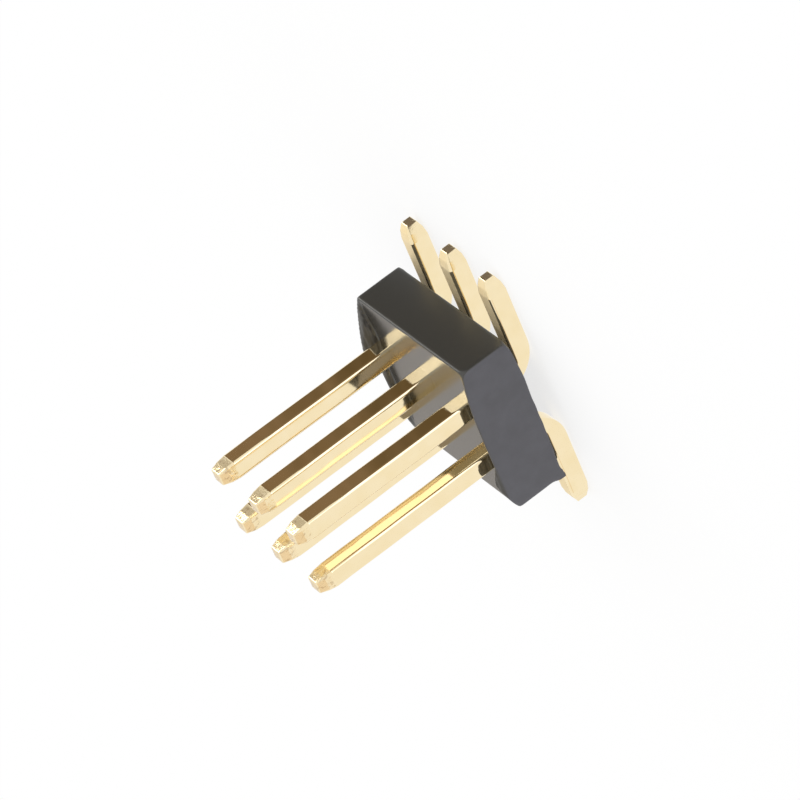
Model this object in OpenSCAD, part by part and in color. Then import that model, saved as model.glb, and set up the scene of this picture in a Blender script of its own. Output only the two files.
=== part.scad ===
// Dual-row surface-mount pin header, cut from a longer strip.
// It stands on its tails: z = 0 is the board, +Z points along the mating pins,
// X runs along the columns and Y across the two rows. Row a is at +Y, row b at -Y.

/* [Layout] */
// Number of pin columns
columns = 3; // [1:1:20]
// Distance from one column to the next
pitch = 1.27; // [1:0.01:2.54]
// Distance between the two rows
row_pitch = 1.27; // [1:0.01:2.54]

/* [Insulator] */
// Thickness of the moulded bar
bar_h = 1.02; // [0.8:0.02:2.6]
// Plastic from a row's centre line to the long side
side_margin = 1.09; // [0.7:0.01:1.6]
// Plastic from the outermost column's centre line to the cut end
end_margin = 0.51; // [0.35:0.01:0.8]
// Radius of the bar's four long edges
bar_edge_r = 0.03; // [0.02:0.01:0.2]

/* [Pin wire] */
// Side of the square wire
wire = 0.4; // [0.3:0.01:0.5]
// Radius of the wire's long edges
wire_edge_r = 0.06; // [0.02:0.01:0.1]
// Clearance on each side between a pin and its hole, 0 for a press fit
hole_gap = 0; // [0:0.005:0.03]

/* [Mating ends] */
// Length of a pin above the bar, point included
mating_h = 4.05; // [2:0.05:9]
// Length of the tapered point
point_taper = 0.35; // [0.1:0.01:0.6]
// Side of the flat at the very end of the point
point_flat = 0.27; // [0.1:0.01:0.28]
// How much fuller a point is at its middle than a straight taper, as a share of the narrowing
point_bulge = 0.2; // [0.05:0.05:0.4]

/* [Solder tails] */
// Inside radius of the right-angle bend
bend_r = 0.12; // [0.04:0.01:0.4]
// How much rounder the outside of the bend is than wire of full thickness would be
bend_thinning = 0.25; // [0.05:0.01:0.3]
// Straight wire showing between the bar and the bend
bend_drop = 0.02; // [0.01:0.01:0.5]
// How far a tail reaches out beyond the bar's long side
tail_reach = 1.12; // [0.6:0.01:3]
// Length of the taper at the tail's end
tail_taper = 0.35; // [0.1:0.01:0.5]
// Side of the flat at the tail's end
tail_flat = 0.2; // [0.1:0.01:0.28]

/* [Cut ends] */
// Height of the tall part of the lip raised at the -X end
lip_left_h = 0.31; // [0.1:0.01:0.5]
// Length of that tall part, counted from the +Y side
lip_left_len = 2; // [0.8:0.05:2.3]
// Thickness of that tall part where it swells most
lip_swell = 0.24; // [0.12:0.01:0.28]
// Height of the tall part of the lip raised at the +X end
lip_right_h = 0.25; // [0.1:0.01:0.5]
// Length of that tall part, counted from the -Y side
lip_right_len = 1.3; // [0.8:0.05:2.3]
// Height of the low lip that spans each cut
lip_low_h = 0.14; // [0.05:0.01:0.3]
// Height of the burr under the bar at the +X end
burr_h = 0.06; // [0.02:0.01:0.12]
// How far that burr sticks out at the -Y corner
burr_corner = 0.08; // [0.03:0.01:0.12]
// Thickness of a lip where it leaves the bar
lip_foot = 0.1; // [0.06:0.01:0.2]
// Thickness of a lip at its crest
lip_crest = 0.05; // [0.02:0.01:0.06]

/* [Hidden] */
$fn = 48;
// The two rows: the letter in the pin's name and the side of the bar it lies on
ROWS = [["a", 1], ["b", -1]];
function pin_name(row, column) = str("pin_", row[0], column + 1);

// Bar: its middle is at x = 0, and the two cut ends lie one margin past the columns
bar_len = (columns - 1) * pitch + 2 * end_margin;
bar_w = row_pitch + 2 * side_margin;
bar_z = wire + bend_r + bend_drop;
bar_top = bar_z + bar_h;
function column_x(column) = (column - (columns - 1) / 2) * pitch;

// Wire: the outside of its bend, and where the straight tail starts and ends
bend_outer_r = bend_r + wire + bend_thinning;
tail_start = row_pitch / 2 - wire / 2 + bend_outer_r;
tail_end = bar_w / 2 + tail_reach;

// Cut edge: the flat stretch of the bar's face between its rounded long edges
cut_len = bar_w - 2 * bar_edge_r;
// Depth to which a lip is merged into the bar
lip_root = 0.03;
// Places of a tall and of a low lip's highest point, as a share of its length
tall_peak = 0.6;
low_peak = 0.45;
// Exponents of their outlines: 1 is a straight slope, and a greater one is fuller
tall_full = 1.35;
low_full = 3;
// Number of straight steps in a lip's outline
lip_steps = 16;
// How far a cutting shape runs past what it cuts
over = 0.1;

insulator_colour = "#2b2a29";
pin_colour = "#d9ad55";

// A square with rounded corners, centred on the origin
module rounded_rect(size_x, size_y, r) {
    square([size_x - 2 * r, size_y], center = true);
    square([size_x, size_y - 2 * r], center = true);
    for (sx = [-1, 1], sy = [-1, 1])
        translate([sx * (size_x / 2 - r), sy * (size_y / 2 - r)])
            circle(r);
}

// Section of the wire, or of its hole when gap is the clearance
module wire_section(gap = 0) {
    rounded_rect(wire + 2 * gap, wire + 2 * gap, wire_edge_r + gap);
}

// Side view of a straight wire of the given length that narrows to a flat in two slopes
module tapered_side(length, taper, flat) {
    shoulder = wire - (wire - flat) * (0.5 - point_bulge);
    polygon([
        [-wire / 2, 0],
        [wire / 2, 0],
        [wire / 2, length - taper],
        [shoulder / 2, length - taper / 2],
        [flat / 2, length],
        [-flat / 2, length],
        [-shoulder / 2, length - taper / 2],
        [-wire / 2, length - taper]
    ]);
}

// Straight wire from z = 0 up, coined on all four sides to a blunt point
module pointed_wire(length, taper, flat) {
    intersection() {
        linear_extrude(length)
            wire_section();
        rotate([90, 0, 0])
            linear_extrude(wire + over, center = true)
                tapered_side(length, taper, flat);
        rotate([90, 0, 90])
            linear_extrude(wire + over, center = true)
                tapered_side(length, taper, flat);
    }
}

// Part of a wire's section: one face at x = 0 with its two rounded corners, and the
// metal behind it to the given depth
module wire_face(depth) {
    translate([wire_edge_r, -wire / 2])
        square([depth - wire_edge_r, wire]);
    translate([0, wire_edge_r - wire / 2])
        square([depth, wire - 2 * wire_edge_r]);
    for (side = [-1, 1])
        translate([wire_edge_r, side * (wire / 2 - wire_edge_r)])
            circle(wire_edge_r);
}

// Elbow in the quarter y < 0, z < 0: it leaves upwards at z = 0 and sideways at y = 0.
// Its outer face follows one arc and its inner face a smaller one, so the wire is
// thinner at the middle of the bend
module elbow() {
    inner_axis = bend_outer_r - wire - bend_r;
    behind = bend_outer_r;
    intersection() {
        rotate([180, 90, 0])
            rotate_extrude(angle = 90)
                translate([bend_outer_r, 0])
                    mirror([1, 0])
                        wire_face(bend_outer_r - bend_r);
        union() {
            translate([0, -inner_axis, -inner_axis])
                rotate([180, 90, 0])
                    rotate_extrude(angle = 90)
                        translate([bend_r, 0])
                            wire_face(behind);
            translate([0, -inner_axis - bend_r, -inner_axis])
                linear_extrude(inner_axis)
                    rotate(-90)
                        wire_face(behind);
            translate([0, -inner_axis, -inner_axis - bend_r])
                rotate([-90, 0, 0])
                    linear_extrude(inner_axis)
                        rotate(90)
                            wire_face(behind);
        }
    }
}

// One pin of row a at x = 0: mating end, elbow and solder tail in one wire
module pin() {
    color(pin_colour)
    union() {
        translate([0, row_pitch / 2, bend_outer_r])
            pointed_wire(bar_top + mating_h - bend_outer_r, point_taper, point_flat);
        translate([0, tail_start, bend_outer_r])
            elbow();
        translate([0, tail_start, wire / 2])
            rotate([-90, 0, 0])
                pointed_wire(tail_end - tail_start, tail_taper, tail_flat);
    }
}

// Height of a lip at the share t of its length, 1 at its highest point and 0 at its ends
function lip_rise(t, peak, full) =
    1 - pow(t < peak ? 1 - t / peak : (t - peak) / (1 - peak), full);

// Lip raised along a cut edge: it stands on the bar's face at z = 0, leans on the plane
// x = 0, starts at y = 0, runs towards -Y and thins from its foot to its crest
module cut_lip(length, height, peak, full, foot) {
    intersection() {
        rotate([90, 0, 90])
            linear_extrude(foot)
                polygon(concat(
                    [[-length, -lip_root], [0, -lip_root]],
                    [for (i = [0:lip_steps])
                        [-length * i / lip_steps, height * lip_rise(i / lip_steps, peak, full)]]
                ));
        rotate([90, 0, 0])
            linear_extrude(length)
                polygon([
                    [0, -lip_root],
                    [foot, -lip_root],
                    [foot, 0],
                    [(2 * foot + lip_crest) / 3, height / 2],
                    [lip_crest, height],
                    [0, height]
                ]);
    }
}

// Tall lip with a belly: an arc bounds its foot and swells towards the pins
module swollen_lip(length, height, swell) {
    arc_r = (pow(length / 2, 2) + pow(swell, 2)) / (2 * swell);
    intersection() {
        cut_lip(length, height, tall_peak, tall_full, swell);
        translate([swell - arc_r, -length / 2, -lip_root])
            cylinder(r = arc_r, h = height + 2 * lip_root);
    }
    cut_lip(length, height, tall_peak, tall_full, lip_foot);
}

// Pointed burr at the lower -Y corner of a cut: flat on the plane x = 0, drawn from the
// corner at y = 0, z = 0
module corner_burr(reach) {
    rotate([90, 0, 90])
        linear_extrude(lip_crest)
            polygon([
                [bar_edge_r, 2.5 * reach],
                [0, 2.5 * reach],
                [-0.8 * reach, 0.8 * reach],
                [-0.5 * reach, -0.8 * reach],
                [0, -reach],
                [4 * reach, 0],
                [4 * reach, lip_root]
            ]);
}

// Moulded bar with a square hole for every pin, and the lips left by cutting it off
module insulator() {
    color(insulator_colour)
    difference() {
        union() {
            translate([0, 0, bar_z + bar_h / 2])
                rotate([90, 0, 90])
                    linear_extrude(bar_len, center = true)
                        rounded_rect(bar_w, bar_h, bar_edge_r);
            translate([-bar_len / 2, cut_len / 2, bar_top]) {
                swollen_lip(lip_left_len, lip_left_h, lip_swell);
                cut_lip(cut_len, lip_low_h, low_peak, low_full, lip_foot);
            }
            translate([bar_len / 2, -cut_len / 2, bar_top])
                rotate([0, 0, 180]) {
                    cut_lip(lip_right_len, lip_right_h, tall_peak, tall_full, lip_foot);
                    cut_lip(cut_len, lip_low_h, low_peak, low_full, lip_foot);
                }
            translate([bar_len / 2, cut_len / 2, bar_z])
                rotate([0, 180, 0])
                    cut_lip(cut_len, burr_h, low_peak, low_full, lip_foot);
            translate([bar_len / 2 - lip_crest, -bar_w / 2, bar_z])
                corner_burr(burr_corner);
        }
        for (row = ROWS, column = [0:columns - 1])
            translate([column_x(column), row[1] * row_pitch / 2, bar_z - over])
                linear_extrude(bar_h + lip_left_h + lip_right_h + over)
                    wire_section(hole_gap);
    }
}

insulator();
for (row = ROWS, column = [0:columns - 1])
    translate([column_x(column), 0, 0])
            scale([1, row[1], 1])
                pin();
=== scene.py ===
import math
from collections import namedtuple

import bmesh
import bpy
import numpy as np
from mathutils import Matrix, Vector, noise


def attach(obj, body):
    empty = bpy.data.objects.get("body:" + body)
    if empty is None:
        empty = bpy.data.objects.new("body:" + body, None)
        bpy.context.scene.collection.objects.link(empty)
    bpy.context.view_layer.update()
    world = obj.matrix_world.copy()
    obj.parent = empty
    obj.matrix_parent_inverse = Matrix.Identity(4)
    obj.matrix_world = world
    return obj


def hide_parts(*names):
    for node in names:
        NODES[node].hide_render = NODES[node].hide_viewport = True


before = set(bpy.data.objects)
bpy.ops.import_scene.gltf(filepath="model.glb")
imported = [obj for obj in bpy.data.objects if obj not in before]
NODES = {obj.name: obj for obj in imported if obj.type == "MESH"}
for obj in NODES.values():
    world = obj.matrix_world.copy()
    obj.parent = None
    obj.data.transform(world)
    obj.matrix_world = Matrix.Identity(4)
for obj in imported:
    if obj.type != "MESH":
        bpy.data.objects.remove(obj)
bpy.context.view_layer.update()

MM = 0.001
scene = bpy.context.scene
PINS = sorted(name for name in NODES if name.startswith("pin_"))

# Sizes of the part, in millimetres
PITCH = 1.27
ROW_Y = PITCH / 2
WIRE = 0.4
WIRE_EDGE = 0.06
TIP_Z = 5.61
BEND_OUT = 0.77
BEND_IN = 0.12
TAIL_START = 1.205
TAIL_END = 2.845
POINT_LEN = 0.35
POINT_FLAT = 0.27
TAIL_FLAT = 0.2
BAR_X = 1.78
BAR_Y = 1.725
BAR_Z = 0.54
BAR_TOP = 1.56

# The photograph's view: place, aim and upward direction in millimetres
CAMERA_AT = Vector((69.038, 60.791, 26.437))
CAMERA_AIM = Vector((-0.156, 0.470, 2.157))
CAMERA_UP = Vector((-0.4118, 0.7048, -0.5777))
CAMERA_LENS = 233.44
CAMERA_SENSOR = 36.0
CAMERA_CLIP = (0.001, 10.0)


def link_object(name, mesh):
    """A new object with this mesh, in the scene."""
    obj = bpy.data.objects.new(name, mesh)
    scene.collection.objects.link(obj)
    return obj


def make_camera():
    data = bpy.data.cameras.new("camera")
    data.lens, data.sensor_width = CAMERA_LENS, CAMERA_SENSOR
    data.clip_start, data.clip_end = CAMERA_CLIP
    camera = link_object("camera", data)
    back = (CAMERA_AT - CAMERA_AIM).normalized()
    right = CAMERA_UP.cross(back).normalized()
    up = back.cross(right)
    place = Matrix((right, up, back)).transposed().to_4x4()
    place.translation = CAMERA_AT * MM
    camera.matrix_world = place
    scene.camera = camera


# Shader helpers: each adds one node to a tree and gives its output
def new_material(name):
    """An empty material, its node tree and its output's surface socket."""
    material = bpy.data.materials.new(name)
    material.use_nodes = True
    tree = material.node_tree
    tree.nodes.clear()
    out = tree.nodes.new("ShaderNodeOutputMaterial")
    return material, tree, out.inputs["Surface"]


def coordinates(tree):
    return tree.nodes.new("ShaderNodeTexCoord").outputs["Object"]


def attribute(tree, name):
    """A mask that the mesh carries on its points."""
    node = tree.nodes.new("ShaderNodeAttribute")
    node.attribute_name = name
    return node.outputs["Fac"]


def stretched(tree, vector, scale):
    """Coordinates scaled by a factor per axis."""
    node = tree.nodes.new("ShaderNodeMapping")
    node.inputs["Scale"].default_value = scale
    tree.links.new(vector, node.inputs["Vector"])
    return node.outputs["Vector"]


def noise_node(tree, vector, scale, detail, roughness=0.5, distortion=0.0):
    node = tree.nodes.new("ShaderNodeTexNoise")
    node.inputs["Scale"].default_value = scale
    node.inputs["Detail"].default_value = detail
    node.inputs["Roughness"].default_value = roughness
    node.inputs["Distortion"].default_value = distortion
    tree.links.new(vector, node.inputs["Vector"])
    return node.outputs["Fac"]


def remap(tree, value, low, high, to_low=0.0, to_high=1.0):
    node = tree.nodes.new("ShaderNodeMapRange")
    limits = {"From Min": low, "From Max": high, "To Min": to_low, "To Max": to_high}
    for socket, number in limits.items():
        node.inputs[socket].default_value = number
    tree.links.new(value, node.inputs["Value"])
    return node.outputs["Result"]


def math_node(tree, operation, *values):
    node = tree.nodes.new("ShaderNodeMath")
    node.operation = operation
    for socket, value in zip(node.inputs, values):
        if isinstance(value, (int, float)):
            socket.default_value = value
        else:
            tree.links.new(value, socket)
    return node.outputs["Value"]


def mix_value(tree, factor, a, b):
    node = tree.nodes.new("ShaderNodeMix")
    for socket, value in (("Factor", factor), ("A", a), ("B", b)):
        tree.links.new(value, node.inputs[socket])
    return node.outputs["Result"]


def mix_colour(tree, factor, a, b):
    node = tree.nodes.new("ShaderNodeMix")
    node.data_type = "RGBA"
    tree.links.new(factor, node.inputs["Factor"])
    sockets = [socket for socket in node.inputs if socket.type == "RGBA"]
    for socket, value in zip(sockets, (a, b)):
        if isinstance(value, tuple):
            socket.default_value = (*value, 1)
        else:
            tree.links.new(value, socket)
    return next(socket for socket in node.outputs if socket.type == "RGBA")


def bump(tree, height, distance, normal=None):
    node = tree.nodes.new("ShaderNodeBump")
    node.inputs["Strength"].default_value = 1.0
    node.inputs["Distance"].default_value = distance
    tree.links.new(height, node.inputs["Height"])
    if normal is not None:
        tree.links.new(normal, node.inputs["Normal"])
    return node.outputs["Normal"]


def raised(tree, base, mask, amount):
    """A value that grows by an amount where a mask is 1."""
    return math_node(tree, "MULTIPLY_ADD", mask, amount, base)


# Finish of the pins: noise scales are per metre, bump heights in metres
GOLD_PALE = (0.93, 0.79, 0.52)
GOLD_DEEP = (0.91, 0.76, 0.475)
GOLD_WORN = (0.6, 0.46, 0.28)
GOLD_ROUGH, POINT_ROUGH, SATIN_ROUGH = 0.055, 0.07, 0.47
LINE_ACROSS, LINE_ALONG, LINE_BUMP = 26e3, 450, 9e-8
WAVE_SCALE, WAVE_BUMP = 1400, 3.5e-6
MARK_SCALE, MARK_BUMP = (15e3, 15e3, 8e3), 4.5e-6
RIPPLE_SCALE = (1500, 3000, 3000)
TAIL_MARKS = 0.3


def gold_material():
    """Gold-plated drawn wire: lines along it, soft waves, scratched points, satin tail tops."""
    material, tree, surface = new_material("gold_plate")
    shader = tree.nodes.new("ShaderNodeBsdfPrincipled")
    place = coordinates(tree)
    tail = attribute(tree, "tail")
    point = attribute(tree, "point")
    satin = attribute(tree, "satin")

    # drawn lines run along the pin above the bend and along the tail below it
    up = stretched(tree, place, (LINE_ACROSS, LINE_ACROSS, LINE_ALONG))
    outward = stretched(tree, place, (LINE_ACROSS, LINE_ALONG, LINE_ACROSS))
    lines = mix_value(tree, tail, noise_node(tree, up, 1.0, 1.0), noise_node(tree, outward, 1.0, 1.0))
    waves = noise_node(tree, place, WAVE_SCALE, 1.0)
    marks = noise_node(tree, stretched(tree, place, MARK_SCALE), 1.0, 3.0, 0.6, 0.6)
    marked = math_node(tree, "MULTIPLY", raised(tree, 1.0, tail, TAIL_MARKS - 1.0), point)
    marks = math_node(tree, "MULTIPLY", marks, marked)

    normal = bump(tree, lines, LINE_BUMP)
    normal = bump(tree, waves, WAVE_BUMP, normal)
    normal = bump(tree, marks, MARK_BUMP, normal)
    tree.links.new(normal, shader.inputs["Normal"])

    ripple = remap(tree, noise_node(tree, stretched(tree, place, RIPPLE_SCALE), 1.0, 2.0), 0.35, 0.7)
    colour = mix_colour(tree, ripple, GOLD_PALE, GOLD_DEEP)
    worn = remap(tree, marks, 0.53, 0.64, 0.0, 0.8)
    tree.links.new(mix_colour(tree, worn, colour, GOLD_WORN), shader.inputs["Base Color"])
    shader.inputs["Metallic"].default_value = 1.0
    rough = raised(tree, GOLD_ROUGH, point, POINT_ROUGH)
    rough = raised(tree, rough, satin, SATIN_ROUGH)
    tree.links.new(rough, shader.inputs["Roughness"])
    tree.links.new(shader.outputs[0], surface)
    return material


# Finish of the insulator
NYLON_DARK, NYLON_LIGHT = (0.043, 0.041, 0.036), (0.050, 0.047, 0.042)
CUT_LIGHT, CUT_DARK = (0.086, 0.085, 0.098), (0.074, 0.073, 0.083)
# The torn lips are paler plastic; the dark and light tones of their streaks are painted shade and
# highlight
TORN_SHADED_STREAK, TORN_LIT_STREAK = (0.050, 0.046, 0.038), (0.105, 0.10, 0.095)
# Painted shade: the long moulded sides get a darker base colour than the top of the same nylon
SIDE_SHADE = (0.031, 0.030, 0.025)
NYLON_ROUGH, CUT_ROUGH, LIP_ROUGH, SIDE_ROUGH = 0.19, 0.36, 0.3, 0.18
NYLON_IOR = 1.55
BLOTCH_SCALE = 3200
STREAK_SCALE = (16e3, 2e3, 16e3)
GRAIN_SCALE, GRAIN_BUMP = 24e3, 5e-7


def plastic_material():
    """Black moulded nylon: glossy moulded faces, paler matt faces where it was cut, painted shade on
    the long sides, and paler torn lips streaked with painted highlight and shade.
    """
    material, tree, surface = new_material("black_nylon")
    shader = tree.nodes.new("ShaderNodeBsdfPrincipled")
    place = coordinates(tree)
    cut = attribute(tree, "cut")
    lip = attribute(tree, "lip")
    side = attribute(tree, "side")

    blotch = remap(tree, noise_node(tree, place, BLOTCH_SCALE, 3.0), 0.3, 0.7)
    moulded = mix_colour(tree, blotch, NYLON_DARK, NYLON_LIGHT)
    sawn = mix_colour(tree, blotch, CUT_LIGHT, CUT_DARK)
    streaks = noise_node(tree, stretched(tree, place, STREAK_SCALE), 1.0, 2.0)
    # paler torn plastic on the lips, streaked with painted highlight and shade
    torn = mix_colour(tree, remap(tree, streaks, 0.45, 0.65), TORN_SHADED_STREAK, TORN_LIT_STREAK)
    colour = mix_colour(tree, cut, moulded, sawn)
    colour = mix_colour(tree, lip, colour, torn)
    # painted shade: the long moulded sides, less where they are cut, get a darker base colour
    colour = mix_colour(tree, math_node(tree, "SUBTRACT", side, cut), colour, SIDE_SHADE)
    tree.links.new(colour, shader.inputs["Base Color"])

    rough = raised(tree, NYLON_ROUGH, cut, CUT_ROUGH)
    rough = raised(tree, rough, lip, LIP_ROUGH)
    rough = raised(tree, rough, side, SIDE_ROUGH)
    tree.links.new(rough, shader.inputs["Roughness"])
    shader.inputs["IOR"].default_value = NYLON_IOR
    grain = noise_node(tree, place, GRAIN_SCALE, 3.0, 0.6)
    tree.links.new(bump(tree, grain, GRAIN_BUMP), shader.inputs["Normal"])
    tree.links.new(shader.outputs[0], surface)
    return material


# Pins: steps of the wire's section, and how a coined end narrows, in millimetres
ARC_STEPS = 6
FLAT_STEPS = 5
SUPPORT = 0.012
CORNERS = ((1, 1), (-1, 1), (-1, -1), (1, -1))
SHOULDER_SHARE = 0.3
RIM = 0.018
EDGE_NARROWING = 0.27

# Rings along a pin: their distances from a coined end, close together at its rim and ridges
END_RINGS = (0.0, 0.002, 0.006, 0.012, 0.018, 0.03, 0.06, 0.10, 0.14, 0.162, 0.175,
             0.188, 0.21, 0.25, 0.29, 0.33, 0.345, 0.35, 0.355, 0.37, 0.40)
RING_STEP = 0.12
BEND_STEPS = 18
FAR_FROM_END = 9.0

# How far a pin strays from straight, and its turn about its own length in degrees
LEAN = 0.012
SWAY, SWAY_TURNS = (0.0022, 0.0012), (2, 4.7)
SWAY_START, SWAY_FULL, SWAY_END = 1.9, 2.9, 0.5
SWAY_SHIFT = 1.3
TWISTS = {"pin_a1": 1.5, "pin_a2": 0.8}
TWIST_RISE = 1.0

# Masks of the finish
POINT_EDGE, POINT_FADE = 0.36, 0.04
SATIN_FROM = 0.02

Ring = namedtuple("Ring", "centre axis width height distance tail")


def corner_arc(width, height, radius, quarter):
    """Points of one round corner of the wire's section."""
    side_x, side_y = CORNERS[quarter % len(CORNERS)]
    centre = np.array((side_x * (width / 2 - radius), side_y * (height / 2 - radius)))
    turns = math.radians(90) * (quarter + np.arange(ARC_STEPS + 1) / ARC_STEPS)
    return centre + radius * np.column_stack((np.cos(turns), np.sin(turns)))


def section(width, height, radius):
    """Outline of a rounded rectangle about the origin, with points close to where an arc ends."""
    outline = []
    for quarter in range(len(CORNERS)):
        arc = corner_arc(width, height, radius, quarter)
        start = arc[-1]
        side = corner_arc(width, height, radius, quarter + 1)[0] - start
        support = min(SUPPORT / np.linalg.norm(side), 0.2)
        outline.extend(arc)
        outline.extend(start + side * share for share in np.linspace(support, 1 - support, FLAT_STEPS))
    return outline


def narrowed(distance, flat):
    """Side of the wire at a distance from its coined end: two slopes and a rounded rim."""
    shoulder = WIRE - (WIRE - flat) * SHOULDER_SHARE
    side = np.interp(distance, (0, POINT_LEN / 2, POINT_LEN), (flat, shoulder, WIRE))
    if distance < RIM:
        side -= 2 * (RIM - math.sqrt(RIM ** 2 - (RIM - distance) ** 2))
    return side


def share_to_end(distance):
    """1 at a coined end, 0 where the wire has its full size."""
    return max(0.0, 1 - distance / POINT_LEN)


def clamp(value):
    return min(1.0, max(0.0, value))


def bend_inner(angle):
    """Distance from the bend's centre to the wire's inner face: two flats and a tight radius."""
    straight = BEND_OUT - WIRE
    edge = straight - BEND_IN
    across, down = math.cos(angle), math.sin(angle)
    if straight * down < edge * across:
        return straight / across
    if straight * across < edge * down:
        return straight / down
    along = edge * (across + down)
    return along + math.sqrt(max(along ** 2 - 2 * edge ** 2 + BEND_IN ** 2, 0.0))


def mating_rings(lean, phases):
    """Rings of the straight end, from the tip down to the bend."""

    def sway(z):
        return sum(size * math.sin(turns * z + phase)
                   for size, turns, phase in zip(SWAY, SWAY_TURNS, phases))

    heights = [TIP_Z - distance for distance in END_RINGS]
    heights += list(np.arange(heights[-1] - RING_STEP, BEND_OUT + 0.05, -RING_STEP))
    for z in heights + [BEND_OUT]:
        distance = TIP_Z - z
        side = narrowed(distance, POINT_FLAT)
        swaying = clamp((z - SWAY_START) / (SWAY_FULL - SWAY_START)) * min(1.0, distance / SWAY_END)
        dx = lean[0] * share_to_end(distance) + sway(z) * swaying
        dy = lean[1] * share_to_end(distance) + sway(z + SWAY_SHIFT) * swaying
        yield Ring((dx, ROW_Y + dy, z), (1.0, 0.0), side, side, distance, 0.0)


def bend_rings():
    """Rings round the bend, whose outer face keeps one radius while the wire thins inside it."""
    for step in range(1, BEND_STEPS):
        angle = math.radians(90 * step / BEND_STEPS)
        across, down = math.cos(angle), math.sin(angle)
        inner = bend_inner(angle)
        middle = (BEND_OUT + inner) / 2
        centre = (0.0, TAIL_START - middle * across, BEND_OUT - middle * down)
        yield Ring(centre, (across, down), WIRE, BEND_OUT - inner, FAR_FROM_END, step / BEND_STEPS)


def tail_rings(lean):
    """Rings of the tail, from the bend out to its end."""
    ending = [TAIL_END - distance for distance in reversed(END_RINGS)]
    straight = list(np.arange(TAIL_START + RING_STEP, ending[0] - 0.05, RING_STEP))
    for y in [TAIL_START] + straight + ending:
        distance = TAIL_END - y
        side = narrowed(distance, TAIL_FLAT)
        off = share_to_end(distance)
        centre = (lean[0] * off, y, WIRE / 2 + lean[1] * off)
        yield Ring(centre, (0.0, 1.0), side, side, distance, 1.0)


def pin_rings(rng):
    """Rings of a whole pin. A ring's axis is the (y, z) direction of its section's height."""
    lean = rng.uniform(-LEAN, LEAN, 4)
    phases = rng.uniform(0, 2 * math.pi, len(SWAY))
    return [*mating_rings(lean[:2], phases), *bend_rings(), *tail_rings(lean[2:])]


def ring_vertices(bm, layers, ring, twist, column_x, row_side):
    """One ring's points with their masks, turned by the pin's twist."""
    radius = WIRE_EDGE - (WIRE - ring.width) * EDGE_NARROWING
    turn = math.radians(twist) * clamp((ring.centre[2] - BAR_TOP) / TWIST_RISE)
    cosine, sine = math.cos(turn), math.sin(turn)
    axis = Vector((0, *ring.axis))
    verts = []
    for a, b in section(ring.width, ring.height, radius):
        p = Vector(ring.centre) + Vector((a * cosine - b * sine, 0, 0)) + axis * (a * sine + b * cosine)
        vert = bm.verts.new((column_x + p.x, p.y * row_side, p.z))
        vert[layers["tail"]] = ring.tail
        vert[layers["point"]] = clamp((POINT_EDGE - ring.distance) / POINT_FADE)
        on_top = b > ring.height / 2 - 1e-4 and ring.distance > SATIN_FROM
        vert[layers["satin"]] = max(0.0, 2 * ring.tail - 1) * on_top
        verts.append(vert)
    return verts


def close_end(bm, layers, loop):
    """A fan of faces over an open end."""
    middle = bm.verts.new(sum((vert.co for vert in loop), Vector()) / len(loop))
    middle[layers["tail"]] = loop[0][layers["tail"]]
    middle[layers["point"]] = 1.0
    for vert, following in zip(loop, loop[1:] + loop[:1]):
        bm.faces.new((middle, vert, following))


def finish_mesh(bm, name, material):
    """A smooth mesh in metres, out of a bmesh in millimetres."""
    bmesh.ops.recalc_face_normals(bm, faces=bm.faces)
    for face in bm.faces:
        face.smooth = True
    for vert in bm.verts:
        vert.co *= MM
    mesh = bpy.data.meshes.new(name)
    bm.to_mesh(mesh)
    bm.free()
    mesh.materials.append(material)
    return mesh


def make_pin(name, column_x, row_side, material, rng):
    """A pin as one swept wire, riding and hiding its CAD node."""
    bm = bmesh.new()
    layers = {mask: bm.verts.layers.float.new(mask) for mask in ("tail", "point", "satin")}
    twist = TWISTS.get(name, 0)
    loops = [ring_vertices(bm, layers, ring, twist, column_x, row_side) for ring in pin_rings(rng)]
    for upper, lower in zip(loops, loops[1:]):
        around = zip(upper, upper[1:] + upper[:1], lower[1:] + lower[:1], lower)
        for corners in around:
            bm.faces.new(corners)
    close_end(bm, layers, loops[0])
    close_end(bm, layers, loops[-1])
    obj = link_object(name + "_wire", finish_mesh(bm, name + "_wire", material))
    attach(obj, "root")
    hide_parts(name)


# Insulator: how its net is made and worn, in millimetres
NET_SIZE = 0.025
WELD = 1e-5
END_DEPTH = (0.16, 0.05)
CORNER_Y = (0.12, 0.04)
CORNER_HEIGHT = (0.36, 0.45)
HOLE_REACH = WIRE / 2 + 0.05
HOLE_SQUEEZE = 0.85
RIM_REACH = 0.03
CUT_ROUGHNESS, LIP_ROUGHNESS, EDGE_WAVE = 0.003, 0.005, 0.018


def smooth_step(low, high, value):
    t = np.clip((value - low) / (high - low), 0, 1)
    return t * t * (3 - 2 * t)


def fine_mesh(source, name):
    """A CAD node's mesh in millimetres, rebuilt as an even fine net."""
    mesh = source.data.copy()
    bm = bmesh.new()
    bm.from_mesh(mesh)
    for vert in bm.verts:
        vert.co /= MM
    bmesh.ops.remove_doubles(bm, verts=bm.verts, dist=WELD)
    bm.to_mesh(mesh)
    bm.free()
    carrier = link_object(name, mesh)
    net = carrier.modifiers.new("net", "REMESH")
    net.mode = "VOXEL"
    net.voxel_size = NET_SIZE
    seen = carrier.evaluated_get(bpy.context.evaluated_depsgraph_get())
    fine = bpy.data.meshes.new_from_object(seen)
    bpy.data.objects.remove(carrier)
    bpy.data.meshes.remove(mesh)
    fine.name = name
    return fine


def read_net(mesh):
    """The net's points, and its edges as pairs of point numbers."""
    points = np.zeros(len(mesh.vertices) * 3)
    mesh.vertices.foreach_get("co", points)
    edges = np.zeros(len(mesh.edges) * 2, int)
    mesh.edges.foreach_get("vertices", edges)
    return points.reshape(-1, 3), edges.reshape(-1, 2)


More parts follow.
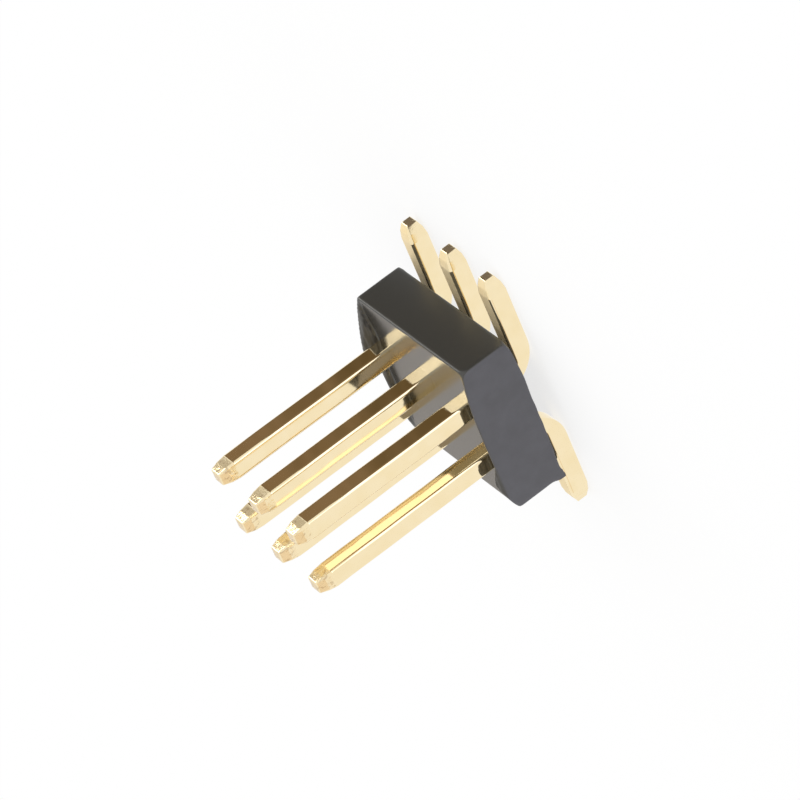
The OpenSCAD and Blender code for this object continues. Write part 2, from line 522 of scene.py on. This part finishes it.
def soften(points, edges, weight, rounds=1):
    """Pulls each point towards its neighbours' mean by its weight, or away if it is negative."""
    count = np.zeros(len(points))
    np.add.at(count, edges[:, 0], 1)
    np.add.at(count, edges[:, 1], 1)
    for _ in range(rounds):
        total = np.zeros_like(points)
        np.add.at(total, edges[:, 0], points[edges[:, 1]])
        np.add.at(total, edges[:, 1], points[edges[:, 0]])
        points = points + weight[:, None] * (total / count[:, None] - points)
    return points


def round_ends(points, edges):
    """The cut rolled the plastic over at the ends, while lips and burrs stay thin."""
    x, y, z = points.T
    at_end = smooth_step(BAR_X - END_DEPTH[0], BAR_X - END_DEPTH[1], np.abs(x))
    on_bar = smooth_step(BAR_Z - 0.03, BAR_Z, z) * (1 - smooth_step(BAR_TOP, BAR_TOP + 0.06, z))
    near_end = x > 0

    corner = at_end * on_bar * smooth_step(BAR_Y - CORNER_Y[0], BAR_Y - CORNER_Y[1], y) * near_end
    corner = corner * smooth_step(*CORNER_HEIGHT, np.abs(z - (BAR_Z + BAR_TOP) / 2))
    points = soften(points, edges, 0.5 * corner, 25)
    end_weight = np.where(near_end, 0.5, 0.2) * at_end * (0.1 + 0.9 * on_bar)
    points = soften(points, edges, end_weight, 20)

    # to and fro, so that the net's steps go and the lips keep their size
    proud = np.maximum(smooth_step(BAR_TOP, BAR_TOP + 0.04, z), at_end)
    for _ in range(10):
        points = soften(points, edges, 0.5 * proud)
        points = soften(points, edges, -0.53 * proud)
    return soften(points, edges, np.full(len(points), 0.25))


def roughen(points):
    """Uneven cut faces and lower cut edges, and streaks along the lips."""
    x, y, z = points.T.copy()
    on_cut = smooth_step(BAR_X - 0.06, BAR_X - 0.02, np.abs(x))
    on_lip = smooth_step(BAR_TOP + 0.03, BAR_TOP + 0.1, z) * (1 - on_cut)
    low_edge = smooth_step(BAR_X - 0.3, BAR_X - 0.1, np.abs(x))
    low_edge = low_edge * (1 - smooth_step(BAR_Z + 0.02, BAR_Z + 0.12, z))
    for i in np.flatnonzero(on_cut + on_lip + low_edge > 0.01):
        grain = noise.noise((x[i] * 6, y[i] * 6, z[i] * 6))
        streak = noise.noise((x[i] * 9, y[i] * 2.5, z[i] * 22))
        wave = noise.noise((x[i] + 7, y[i] * 3.2, 0.5))
        depth = CUT_ROUGHNESS * on_cut[i] * (1 + grain) + LIP_ROUGHNESS * on_lip[i] * (1 + streak)
        points[i, 0] -= np.sign(x[i]) * depth
        points[i, 2] += EDGE_WAVE * low_edge[i] * wave


def close_holes(points):
    """Draws the plastic round each pin against the pin's flat sides."""
    for column in (-1, 0, 1):
        for row in (-1, 1):
            centre = (column * PITCH, row * ROW_Y)
            off = points[:, :2] - centre
            near = np.abs(off).max(axis=1) < HOLE_REACH
            points[near, :2] = off[near] * HOLE_SQUEEZE + centre
            rim = near & (np.abs(points[:, 2] - BAR_TOP) < RIM_REACH)
            points[rim, 2] = BAR_TOP


def insulator_masks(points):
    """Where the plastic is cut, where it is a torn lip, and where it is a long moulded side."""
    x, y, z = points.T
    cut = smooth_step(BAR_X - 0.05, BAR_X - 0.02, x)
    cut = cut * (1 - smooth_step(BAR_TOP + 0.11, BAR_TOP + 0.16, z))
    cut = np.maximum(cut, smooth_step(BAR_X - 0.03, BAR_X - 0.012, -x))
    lip = smooth_step(BAR_TOP + 0.02, BAR_TOP + 0.08, z) * (1 - cut)
    side = smooth_step(BAR_Y - 0.02, BAR_Y - 0.006, np.abs(y))
    return {"cut": cut, "lip": lip, "side": side}


def make_insulator(material):
    """The moulded bar with softened, torn cut ends, hiding its CAD node."""
    mesh = fine_mesh(NODES["insulator"], "insulator_body")
    points, edges = read_net(mesh)
    points = round_ends(points, edges)
    roughen(points)
    close_holes(points)
    for name, values in insulator_masks(points).items():
        layer = mesh.attributes.new(name, "FLOAT", "POINT")
        layer.data.foreach_set("value", values.astype(np.float32))
    mesh.vertices.foreach_set("co", (points * MM).ravel())
    mesh.update()
    mesh.polygons.foreach_set("use_smooth", np.ones(len(mesh.polygons), bool))
    mesh.materials.clear()
    mesh.materials.append(material)
    obj = link_object("insulator_body", mesh)
    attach(obj, "root")
    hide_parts("insulator")


# Stage: lengths in millimetres, angles in degrees
FLOOR_REACH = 400
FLOOR_GLOW = 0.75
CARD_HEIGHT = 0.02
SKY_CENTRE_Z = 2


def emission(tree, colour, strength=1.0):
    node = tree.nodes.new("ShaderNodeEmission")
    node.inputs["Color"].default_value = (*colour, 1)
    node.inputs["Strength"].default_value = strength
    return node


def card(name, corners, colour, strength):
    """A flat stage card that only reflections see. Gives its tree and its glow."""
    mesh = bpy.data.meshes.new(name)
    mesh.from_pydata([Vector(corner) * MM for corner in corners], [], [range(len(corners))])
    obj = link_object(name, mesh)
    material, tree, surface = new_material(name)
    glow = emission(tree, colour, strength)
    tree.links.new(glow.outputs[0], surface)
    mesh.materials.append(material)
    obj.visible_camera = obj.visible_diffuse = obj.visible_shadow = False
    obj.visible_transmission = obj.visible_volume_scatter = False
    return tree, glow


def floor_card(name, x, y, colour, strength=1.0):
    """A card lying just over the floor."""
    corners = [(x[0], y[0]), (x[1], y[0]), (x[1], y[1]), (x[0], y[1])]
    return card(name, [(*corner, CARD_HEIGHT) for corner in corners], colour, strength)


def sky_card(name, azimuth, elevation, radius, colour, strength=1.0):
    """A card on a wide ring round the part, between two azimuths and two elevations."""
    corners = []
    for a, e in ((0, 0), (1, 0), (1, 1), (0, 1)):
        turn, rise = math.radians(azimuth[a]), math.radians(elevation[e])
        level = radius * math.cos(rise)
        height = SKY_CENTRE_Z + radius * math.sin(rise)
        corners.append((level * math.cos(turn), level * math.sin(turn), height))
    return card(name, corners, colour, strength)


def graded_floor_card(name, x, y, near_colour, far_colour, near_y, far_y):
    """A floor card whose colour changes along y, with soft patches."""
    tree, glow = floor_card(name, x, y, near_colour)
    place = coordinates(tree)
    split = tree.nodes.new("ShaderNodeSeparateXYZ")
    tree.links.new(place, split.inputs[0])
    along = remap(tree, split.outputs["Y"], near_y * MM, far_y * MM)
    patches = remap(tree, noise_node(tree, place, 420, 2.0), 0.3, 0.7, -0.45, 0.45)
    along = math_node(tree, "ADD", along, patches)
    tree.links.new(mix_colour(tree, along, near_colour, far_colour), glow.inputs["Color"])


def make_world():
    world = bpy.data.worlds.new("studio")
    world.use_nodes = True
    tree = world.node_tree
    tree.nodes.clear()
    out = tree.nodes.new("ShaderNodeOutputWorld")
    light = tree.nodes.new("ShaderNodeBackground")
    light.inputs["Color"].default_value = (1, 1, 1, 1)
    light.inputs["Strength"].default_value = 1.0
    tree.links.new(light.outputs[0], out.inputs["Surface"])
    scene.world = world


def make_floor():
    """White floor: it keeps a soft shadow for the camera, and reflections see it plain white."""
    r = FLOOR_REACH * MM
    mesh = bpy.data.meshes.new("floor")
    mesh.from_pydata([(-r, -r, 0), (r, -r, 0), (r, r, 0), (-r, r, 0)], [], [(0, 1, 2, 3)])
    floor = link_object("floor", mesh)
    material, tree, surface = new_material("floor")
    matt = tree.nodes.new("ShaderNodeBsdfDiffuse")
    matt.inputs["Color"].default_value = (1, 1, 1, 1)
    glow = emission(tree, (1, 1, 1))
    path = tree.nodes.new("ShaderNodeLightPath")
    share = math_node(tree, "MULTIPLY", path.outputs["Is Camera Ray"], FLOOR_GLOW)
    share = math_node(tree, "MAXIMUM", share, path.outputs["Is Glossy Ray"])
    mix = tree.nodes.new("ShaderNodeMixShader")
    tree.links.new(share, mix.inputs[0])
    tree.links.new(matt.outputs[0], mix.inputs[1])
    tree.links.new(glow.outputs[0], mix.inputs[2])
    tree.links.new(mix.outputs[0], surface)
    mesh.materials.append(material)


def make_cards():
    """What the gold and the glossy plastic reflect: dark, pale and bright areas round the part."""
    graded_floor_card("dark_card", (-22, 1.4), (4.1, 20),
                      (0.125, 0.088, 0.046), (0.235, 0.165, 0.105), 5.5, 13.0)
    floor_card("near_card", (-6, 1.4), (2.9, 4.1), (0.19, 0.165, 0.15))
    floor_card("bright_card", (3.2, 20), (4, 18), (0.98, 0.97, 1.1), 1.75)
    sky_card("lamp_card", (116, 162), (12, 26), 60, (1.0, 0.97, 0.90), 5.7)
    sky_card("low_card", (122, 156), (-2.4, 13), 44, (1.0, 0.945, 0.88), 0.56)
    sky_card("pale_card", (205, 238), (6, 24), 60, (0.86, 0.80, 0.74))
    sky_card("warm_card", (-55, -25), (3, 20), 60, (0.91, 0.80, 0.68))


make_camera()
make_world()
make_floor()
make_cards()
gold = gold_material()
plastic = plastic_material()
for number, pin_name in enumerate(PINS):
    column = int(pin_name[-1]) - 2
    row = 1 if "_a" in pin_name else -1
    make_pin(pin_name, column * PITCH, row, gold, np.random.default_rng(20 + number))
make_insulator(plastic)

scene.view_settings.view_transform = "Standard"
